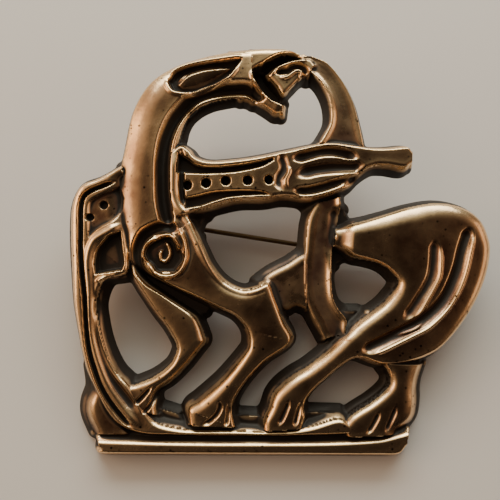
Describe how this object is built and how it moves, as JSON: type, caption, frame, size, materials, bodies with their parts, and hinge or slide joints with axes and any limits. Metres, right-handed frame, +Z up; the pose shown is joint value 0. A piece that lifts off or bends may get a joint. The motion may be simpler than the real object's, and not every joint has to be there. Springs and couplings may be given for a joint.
{
  "type": "openwork animal brooch",
  "caption": "Cast bronze brooch pierced between a striding beast and the bands that bite round it, with a hinged wire pin and a forked catch behind",
  "frame": {"origin": "the middle of the box round the brooch, at its lowest points: the lower edge of the bar, the hinge lugs and the catch, which stand on the table", "axes": "+Z up from the table; X along the ground bar, with the rump at +X; +Y from the ground bar to the head, which leans up by nine degrees"},
  "size_m": [0.061, 0.0584, 0.0121],
  "materials": {
    "aged_bronze": "cast bronze, black-brown patina in the recesses, rubbed bright on the ridges",
    "bronze_wire": "drawn bronze wire, dulled",
    "rivet_bronze": "peened bronze rivet, dulled"
  },
  "bodies": {
    "plate": {"cast_openwork_plate": "aged_bronze", "hinge_rivet": "rivet_bronze"},
    "pin": {"pin_stem": "bronze_wire"}
  },
  "joints": [
    {"name": "pin_hinge", "type": "hinge", "parent": "plate", "child": "pin", "pos_m": [-0.01994, 0.00414, 0.00276], "axis": [0.1348, 0.9787, 0.155], "range_deg": [0, 100]}
  ]
}
